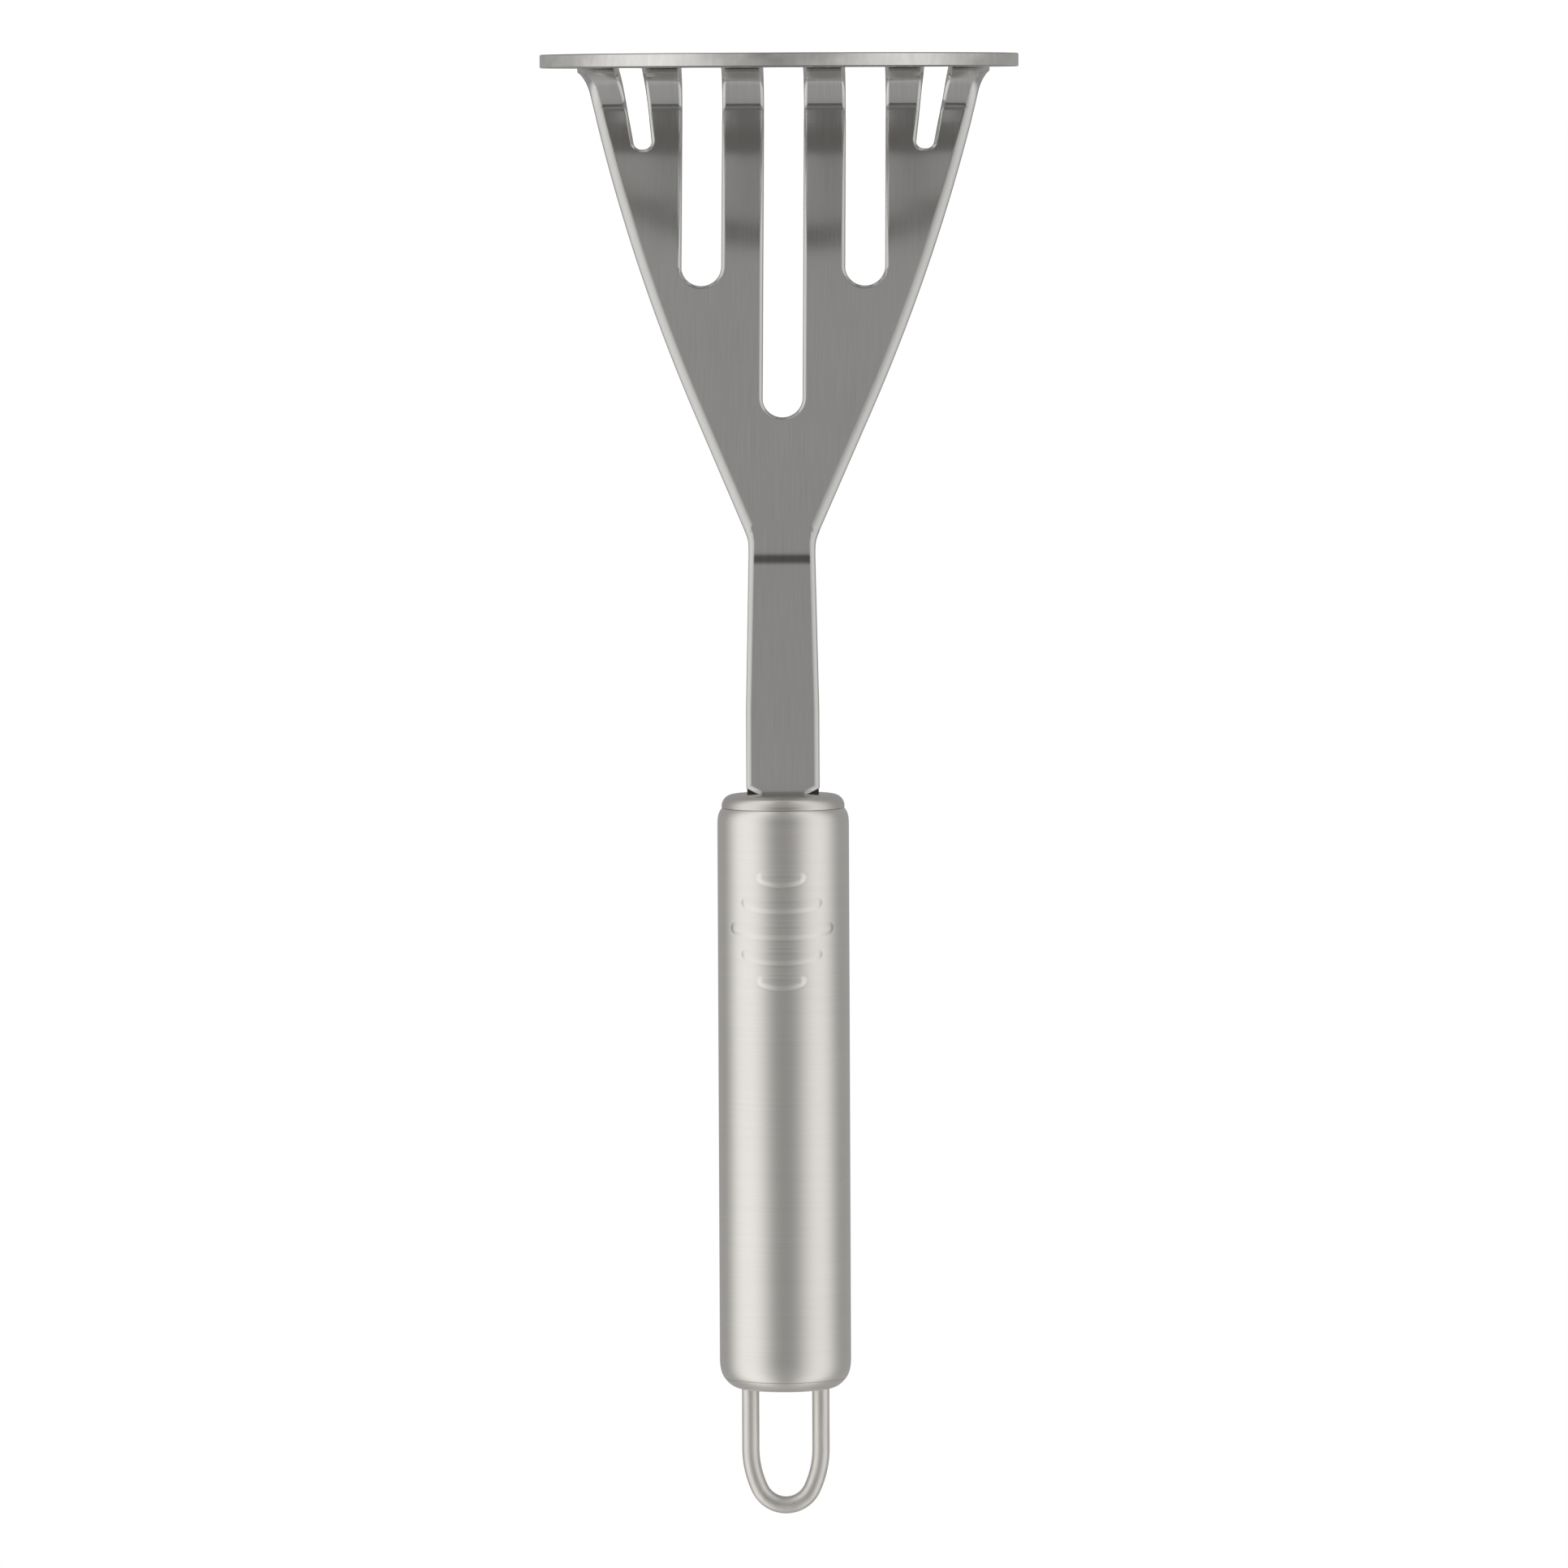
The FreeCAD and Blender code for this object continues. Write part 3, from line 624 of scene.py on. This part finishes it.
def end_seam_weld():
    """The bead that closes the end cap's joint, ground almost flush."""
    seam = tube_high.z
    profile = [
        (SEAM_R - 0.3, seam - 0.1), (SEAM_R - 0.03, seam - 0.26), (SEAM_R - 0.015, seam - 0.18),
        (SEAM_R - 0.06, seam - 0.1),
    ]
    bm = bmesh.new()
    spun(bm, profile, 160)
    grain_round(bm)
    return bm


def neck_root():
    """A near-black filler in the cut corners where the neck goes into its cap: painted shade for
    the dark gaps there.
    """
    half_w, half_t, height = 6.62, 1.12, 1.1
    into_cap = 0.06
    bm = bmesh.new()
    bmesh.ops.create_circle(bm, cap_ends=True, segments=48, radius=1.0)
    bmesh.ops.scale(bm, verts=bm.verts, vec=(half_w, half_t, 1))
    bmesh.ops.translate(bm, verts=bm.verts, vec=(0, AXIS_Y, neck_cap_low.z + into_cap))
    grown = bmesh.ops.extrude_face_region(bm, geom=bm.faces[:])["geom"]
    outer = [v for v in grown if isinstance(v, bmesh.types.BMVert)]
    bmesh.ops.translate(bm, verts=outer, vec=(0, 0, -height))
    bmesh.ops.recalc_face_normals(bm, faces=bm.faces)
    return bm


def hanging_loop():
    """Round wire bent to a tall U, with a round tip and its two ends inside the handle."""
    wire_r = (loop_high.y - loop_low.y) / 2
    leg_x = loop_high.x - wire_r
    tip_r = 5.35
    tip_half = math.radians(65)
    side_turn = math.pi / 2 - tip_half
    tip_z = loop_high.z - wire_r - tip_r
    join = Vector((tip_r * math.sin(tip_half), tip_z + tip_r * math.cos(tip_half)))
    side_r = (leg_x - join.x) / (1 - math.cos(side_turn))
    leg_top = join.y - side_r * math.sin(side_turn)
    right = (
        line((leg_x, loop_low.z), (leg_x, leg_top))
        + arc((leg_x - side_r, leg_top), side_r, 0, side_turn)
        + arc((0, tip_z), tip_r, math.pi / 2 - tip_half, math.pi / 2)
    )
    whole = right + mirrored(right)
    wire = bpy.data.curves.new("wire", "CURVE")
    wire.dimensions = "3D"
    wire.bevel_depth = wire_r
    wire.bevel_resolution = 10
    wire.use_fill_caps = True
    spline = wire.splines.new("BEZIER")
    spline.resolution_u = 16
    spline.bezier_points.add(len(whole))
    for index, point in enumerate(spline.bezier_points):
        last = index == len(whole)
        at = whole[-1][3] if last else whole[index][0]
        ahead = at + Vector((0, -1)) if last else whole[index][1]
        behind = whole[index - 1][2] if index else at + Vector((0, -1))
        for name, place in (("co", at), ("handle_right", ahead), ("handle_left", behind)):
            setattr(point, name, (place.x, AXIS_Y, place.y))
    holder = bpy.data.objects.new("wire", wire)
    mesh = bpy.data.meshes.new_from_object(holder)
    bpy.data.objects.remove(holder)
    bm = bmesh.new()
    bm.from_mesh(mesh)
    bmesh.ops.remove_doubles(bm, verts=bm.verts, dist=0.001)
    bmesh.ops.recalc_face_normals(bm, faces=bm.faces)
    for face in bm.faces:
        face.smooth = len(face.verts) == 4
    return bm


# ------------------------------------------------------------------ materials

class Look:
    """One material's nodes, with short ways to add and join them."""

    def __init__(self, name):
        self.material = bpy.data.materials.new(name)
        self.material.use_nodes = True
        self.tree = self.material.node_tree
        self.shader = self.tree.nodes["Principled BSDF"]
        self.shader.inputs["Metallic"].default_value = 1.0

    def node(self, kind, settings=(), **inputs):
        node = self.tree.nodes.new(kind)
        for key, value in dict(settings).items():
            setattr(node, key, value)
        for key, value in inputs.items():
            self.feed(node.inputs[key.replace("_", " ")], value)
        return node

    def feed(self, socket, value):
        if isinstance(value, bpy.types.NodeSocket):
            self.tree.links.new(value, socket)
        else:
            socket.default_value = value

    def place(self):
        return self.node("ShaderNodeTexCoord").outputs["Object"]

    def grain(self):
        return self.node("ShaderNodeUVMap", {"uv_map": "grain"}).outputs["UV"]

    def speckle(self, where, scale, detail=3.0):
        """Smooth noise on a map stretched by scale, one number for each direction."""
        mapping = self.node("ShaderNodeMapping", Vector=where, Scale=scale)
        stretched = mapping.outputs["Vector"]
        noise = self.node("ShaderNodeTexNoise", Vector=stretched, Scale=1.0, Detail=detail)
        return noise.outputs["Fac"]

    def spread(self, value, low, high, from_low=0.3, from_high=0.7):
        """Turns a value, which is noise unless its range is given, into one from low to high."""
        ranged = self.node("ShaderNodeMapRange", {"clamp": True}, Value=value)
        ends = {"From Min": from_low, "From Max": from_high, "To Min": low, "To Max": high}
        for key, number in ends.items():
            ranged.inputs[key].default_value = number
        return ranged.outputs["Result"]

    def times(self, first, second):
        node = self.node("ShaderNodeMath", {"operation": "MULTIPLY"})
        self.feed(node.inputs[0], first)
        self.feed(node.inputs[1], second)
        return node.outputs["Value"]

    def tint(self, colour, strength):
        """A colour made lighter or darker by a number."""
        node = self.node("ShaderNodeVectorMath", {"operation": "SCALE"}, Scale=strength)
        node.inputs[0].default_value = colour
        self.feed(self.shader.inputs["Base Color"], node.outputs["Vector"])

    def brushed(self, anisotropy):
        """Stretches the shine across the grain."""
        self.shader.inputs["Anisotropic"].default_value = anisotropy
        tangent = self.node("ShaderNodeTangent", {"direction_type": "UV_MAP", "uv_map": "grain"})
        self.feed(self.shader.inputs["Tangent"], tangent.outputs["Tangent"])

    def roughen(self, value):
        self.feed(self.shader.inputs["Roughness"], value)

    def bump(self, height, strength, distance):
        node = self.node("ShaderNodeBump", Height=height, Strength=strength, Distance=distance)
        self.feed(self.shader.inputs["Normal"], node.outputs["Normal"])


PLATE_TONE_SHARE = 0.60        # the plate's brightness, as a share of the fan's


def pressed_sheet():
    """Sheet with a fine brushed grain that runs the length of the tool, and a plate tinted
    darker than the fan.
    """
    look = Look("brushed_sheet")
    grain = look.grain()
    hairs = look.speckle(grain, (7.0, 0.10, 1.0), 4.0)
    bands = look.speckle(grain, (0.9, 0.03, 1.0), 3.0)
    clouds = look.speckle(grain, (0.07, 0.05, 1.0), 3.0)
    strength = look.times(look.spread(hairs, 0.96, 1.04), look.spread(bands, 0.99, 1.01))
    strength = look.times(strength, look.spread(clouds, 0.985, 1.015))
    along = look.node("ShaderNodeSeparateXYZ", Vector=grain).outputs["Y"]
    # The plate is tinted darker than the fan, and the tint fades to the fan's over the heel's
    # first 4 mm.
    plate_tone = look.spread(along, PLATE_TONE_SHARE, 1.0, HEEL_START, HEEL_START + 4.0)
    look.tint((0.612, 0.604, 0.586), look.times(strength, plate_tone))
    look.roughen(look.times(look.spread(hairs, 0.155, 0.18), look.spread(clouds, 0.95, 1.05)))
    look.brushed(0.88)
    look.bump(hairs, 0.06, 0.00002)
    return look.material


def sheared_rim():
    """The plate's cut edge: brighter, with short strokes left by the cutter."""
    look = Look("sheared_rim")
    place = look.place()
    strokes = look.speckle(place, (900.0, 900.0, 260.0), 3.0)
    patches = look.speckle(place, (140.0, 140.0, 300.0), 4.0)
    strength = look.times(look.spread(strokes, 0.93, 1.05), look.spread(patches, 0.9, 1.05))
    look.tint((0.80, 0.788, 0.755), strength)
    look.roughen(look.spread(patches, 0.26, 0.46))
    look.bump(strokes, 0.25, 0.00005)
    return look.material


def turned_tube():
    """The grip's satin finish, brushed round and round."""
    look = Look("brushed_tube")
    place = look.place()
    hairs = look.speckle(place, (60.0, 60.0, 9000.0), 4.0)
    bands = look.speckle(place, (20.0, 20.0, 700.0), 3.0)
    clouds = look.speckle(place, (55.0, 55.0, 40.0), 3.0)
    strength = look.times(look.spread(hairs, 0.975, 1.025), look.spread(bands, 0.988, 1.012))
    look.tint((0.80, 0.775, 0.735), look.times(strength, look.spread(clouds, 0.98, 1.02)))
    look.roughen(look.times(look.spread(hairs, 0.295, 0.335), look.spread(clouds, 0.94, 1.06)))
    look.brushed(0.7)
    look.bump(bands, 0.02, 0.00003)
    return look.material


def neck_corner_shade():
    """A near-black surface, almost without shine: painted shade for the dark gaps in the neck's
    cut corners.
    """
    look = Look("neck_corner_shade")
    shade_speckle = look.speckle(look.place(), (1500.0, 1500.0, 1500.0), 3.0)
    # Near-black tint: painted shade.
    look.tint((0.07, 0.062, 0.055), look.spread(shade_speckle, 0.6, 1.3))
    look.roughen(look.spread(shade_speckle, 0.45, 0.7))
    look.bump(shade_speckle, 0.4, 0.0001)
    return look.material


def satin_cap():
    """The neck cap's finish: a finer satin than the grip's."""
    look = Look("satin_cap")
    place = look.place()
    fine = look.speckle(place, (120.0, 120.0, 7000.0), 4.0)
    clouds = look.speckle(place, (150.0, 150.0, 260.0), 3.0)
    strength = look.times(look.spread(fine, 0.97, 1.03), look.spread(clouds, 0.98, 1.02))
    look.tint((0.715, 0.685, 0.65), strength)
    look.roughen(look.spread(fine, 0.28, 0.33))
    look.bump(clouds, 0.05, 0.00002)
    return look.material


def drawn_wire():
    """Drawn wire, tumbled to a soft shine, with faint lines along it."""
    look = Look("drawn_wire")
    place = look.place()
    lines = look.speckle(place, (2600.0, 2600.0, 160.0), 3.0)
    patches = look.speckle(place, (300.0, 300.0, 120.0), 3.0)
    strength = look.times(look.spread(lines, 0.95, 1.04), look.spread(patches, 0.93, 1.05))
    look.tint((0.79, 0.765, 0.725), strength)
    look.roughen(look.spread(patches, 0.40, 0.47))
    look.bump(lines, 0.06, 0.00003)
    return look.material


def ground_weld():
    """A weld bead ground back, a little darker and warmer than the steel."""
    look = Look("ground_weld")
    place = look.place()
    ripples = look.speckle(place, (1600.0, 1600.0, 900.0), 3.0)
    heat = look.speckle(place, (200.0, 200.0, 200.0), 2.0)
    strength = look.times(look.spread(ripples, 0.85, 1.1), look.spread(heat, 0.92, 1.05))
    look.tint((0.50, 0.47, 0.44), strength)
    look.roughen(look.spread(ripples, 0.30, 0.45))
    look.bump(ripples, 0.3, 0.00008)
    return look.material


# ------------------------------------------------------------------ pieces

def finished(name, bm, materials, node=None):
    """Turns a drawing in millimetres into a finished piece, which may stand for a CAD node."""
    bmesh.ops.scale(bm, vec=(MM, MM, MM), verts=bm.verts)
    mesh = bpy.data.meshes.new(name)
    bm.to_mesh(mesh)
    bm.free()
    for material in materials:
        mesh.materials.append(material)
    piece = bpy.data.objects.new(name, mesh)
    bpy.context.collection.objects.link(piece)
    even = piece.modifiers.new("even_shading", "WEIGHTED_NORMAL")
    even.mode = "FACE_AREA"
    even.keep_sharp = True
    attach(piece, "root")
    if node:
        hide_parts(node)


def keep_node(name, material):
    """A CAD node that stays, with a better material."""
    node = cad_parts[name]
    for place in node.material_slots:
        place.material = material


sheet_look = pressed_sheet()
rim_look = sheared_rim()
tube_look = turned_tube()
cap_look = satin_cap()
wire_look = drawn_wire()
weld_look = ground_weld()

finished("pressed_head", masher_head(), [sheet_look, rim_look], "masher_head")
finished("grip", handle_tube(), [tube_look], "handle_tube")
finished("domed_end", end_cap_shell(), [tube_look], "end_cap")
finished("end_bead", end_seam_weld(), [weld_look], "end_seam_weld")
finished("wire_loop", hanging_loop(), [wire_look], "hanging_loop")
# The neck root is a dark filler: painted shade in the neck's cut corners.
finished("neck_root", neck_root(), [neck_corner_shade()])
keep_node("neck_cap", cap_look)
for weld in ("tang_welds", "loop_welds"):
    keep_node(weld, weld_look)


# ------------------------------------------------------------------ floor, light and camera

CAMERA_AZIMUTH = 2.0     # degrees round from straight in front
FLOOR_HALF = 30.0        # metres

DIM_WALL = 0.47
WALL_STRENGTHS = (0.68, 0.80)    # on the -X side and on the +X side
# Below, four numbers are a range in degrees and the values at its two ends, and two are a range.
WALL_NEAR = (4.0, 63.0, 0.0, 1.0)
WALL_BACK = (78.0, 128.0, 1.0, 0.0)
WALL_SKEW = 10.0         # degrees by which one wall ends sooner than the other
GAP_DEPTH = 0.78
GAP_SIDE = (12.0, 42.0)
GAP_LOW = (-13.0, -9.0)
GAP_HIGH = (-3.4, 1.0)
BRIGHTER_UP = (5.0, 22.0, 1.0, 1.06)
DIMMER_TOP = (40.0, 60.0, 0.0, -0.04)
OVERHEAD = (60.0, 85.0)
OVERHEAD_STRENGTH = 0.62


def pale_floor():
    """A wide pale floor under the plate."""
    bm = bmesh.new()
    bmesh.ops.create_grid(bm, x_segments=1, y_segments=1, size=FLOOR_HALF)
    mesh = bpy.data.meshes.new("floor")
    bm.to_mesh(mesh)
    bm.free()
    floor = bpy.data.objects.new("floor", mesh)
    bpy.context.collection.objects.link(floor)
    look = Look("pale_floor")
    look.shader.inputs["Metallic"].default_value = 0.0
    look.shader.inputs["Roughness"].default_value = 0.9
    look.shader.inputs["Specular IOR Level"].default_value = 0.0
    soft = look.speckle(look.place(), (3.0, 3.0, 3.0), 2.0)
    look.tint((0.93, 0.93, 0.93), look.spread(soft, 0.99, 1.0))
    look.shader.inputs["Emission Color"].default_value = (1, 1, 1, 1)
    look.shader.inputs["Emission Strength"].default_value = 0.6
    mesh.materials.append(look.material)
    floor.visible_glossy = False


def studio():
    """A soft white studio: broad pale walls to the sides, dimmer straight ahead and behind.

    Only the steel sees the walls; the camera sees plain white.
    """
    world = bpy.data.worlds.new("studio")
    bpy.context.scene.world = world
    world.use_nodes = True
    tree = world.node_tree
    tree.nodes.clear()

    def add(kind, *inputs, **settings):
        node = tree.nodes.new(kind)
        for key, value in settings.items():
            setattr(node, key, value)
        for index, value in enumerate(inputs):
            if isinstance(value, bpy.types.NodeSocket):
                tree.links.new(value, node.inputs[index])
            else:
                node.inputs[index].default_value = value
        return node.outputs[0]

    def sums(operation, *inputs):
        return add("ShaderNodeMath", *inputs, operation=operation)

    def step(value, low, high, start, end):
        ends = (low, high, start, end)
        return add("ShaderNodeMapRange", value, *ends, interpolation_type="SMOOTHSTEP")

    direction = tree.nodes.new("ShaderNodeTexCoord").outputs["Generated"]
    split = tree.nodes.new("ShaderNodeSeparateXYZ")
    tree.links.new(direction, split.inputs[0])
    x, y, z = split.outputs
    azimuth = sums("ARCTAN2", x, sums("MULTIPLY", y, -1.0))
    facing = sums("ADD", azimuth, math.radians(CAMERA_AZIMUTH))
    side = sums("MULTIPLY", sums("ABSOLUTE", facing), math.degrees(1))
    height = sums("MULTIPLY", sums("ARCSINE", z), math.degrees(1))

    # The walls, by how far round to the side they stand.
    crossing = 0.2
    strength = step(facing, -crossing, crossing, *WALL_STRENGTHS)
    rise_side = step(side, *WALL_NEAR)
    turned_side = sums("ADD", side, step(facing, -crossing, crossing, WALL_SKEW, 0.0))
    fall_side = step(turned_side, *WALL_BACK)
    lit = sums("MULTIPLY", strength, sums("MULTIPLY", rise_side, fall_side))
    walls = sums("ADD", DIM_WALL, lit)

    # The dark gap between the walls, just below the horizon.
    gap_side = step(side, *GAP_SIDE, GAP_DEPTH, 0.0)
    gap_low = step(height, *GAP_LOW, 0.0, 1.0)
    gap_high = step(height, *GAP_HIGH, 1.0, 0.0)
    dark = sums("MULTIPLY", gap_side, sums("MULTIPLY", gap_low, gap_high))
    gap = sums("SUBTRACT", 1.0, dark)

    # Higher up the walls are a little brighter, and overhead there is one even panel.
    rise = sums("ADD", step(height, *BRIGHTER_UP), step(height, *DIMMER_TOP))
    level = sums("MULTIPLY", sums("MULTIPLY", walls, gap), rise)
    overhead = step(height, *OVERHEAD, 0.0, 1.0)
    kept = sums("MULTIPLY", level, sums("SUBTRACT", 1.0, overhead))
    seen = sums("ADD", kept, sums("MULTIPLY", overhead, OVERHEAD_STRENGTH))

    lights = tree.nodes.new("ShaderNodeBackground")
    tree.links.new(seen, lights.inputs["Strength"])
    plain = tree.nodes.new("ShaderNodeBackground")
    plain.inputs["Color"].default_value = (1, 1, 1, 1)
    rays = tree.nodes.new("ShaderNodeLightPath").outputs["Is Camera Ray"]
    choose = tree.nodes.new("ShaderNodeMixShader")
    tree.links.new(rays, choose.inputs[0])
    tree.links.new(lights.outputs[0], choose.inputs[1])
    tree.links.new(plain.outputs[0], choose.inputs[2])
    output = tree.nodes.new("ShaderNodeOutputWorld")
    tree.links.new(choose.outputs[0], output.inputs["Surface"])


def camera():
    """A long lens straight in front of the tool, turned over so that the plate is on top."""
    tilt, roll = math.radians(3.321), math.radians(180 - 0.254)
    turn = math.radians(CAMERA_AZIMUTH)
    distance, height, aside = 2.1, 0.0127, -0.00019
    ahead = Vector((
        math.sin(turn) * math.cos(tilt), math.cos(turn) * math.cos(tilt), math.sin(tilt),
    ))
    right = Vector((math.cos(turn), -math.sin(turn), 0))
    flat = Vector((math.sin(turn), math.cos(turn), 0))
    lens = bpy.data.cameras.new("camera")
    lens.sensor_width = 36.0
    lens.lens = 261.5
    lens.clip_end = 100.0
    holder = bpy.data.objects.new("camera", lens)
    bpy.context.collection.objects.link(holder)
    holder.rotation_mode = "QUATERNION"
    holder.rotation_quaternion = (
        ahead.to_track_quat("-Z", "Y") @ Quaternion((0, 0, 1), roll)
    )
    holder.location = (
        Vector((0, AXIS_Y * MM, height)) - distance * flat + aside * right
    )
    bpy.context.scene.camera = holder


pale_floor()
studio()
camera()
bpy.context.scene.view_settings.view_transform = "Standard"
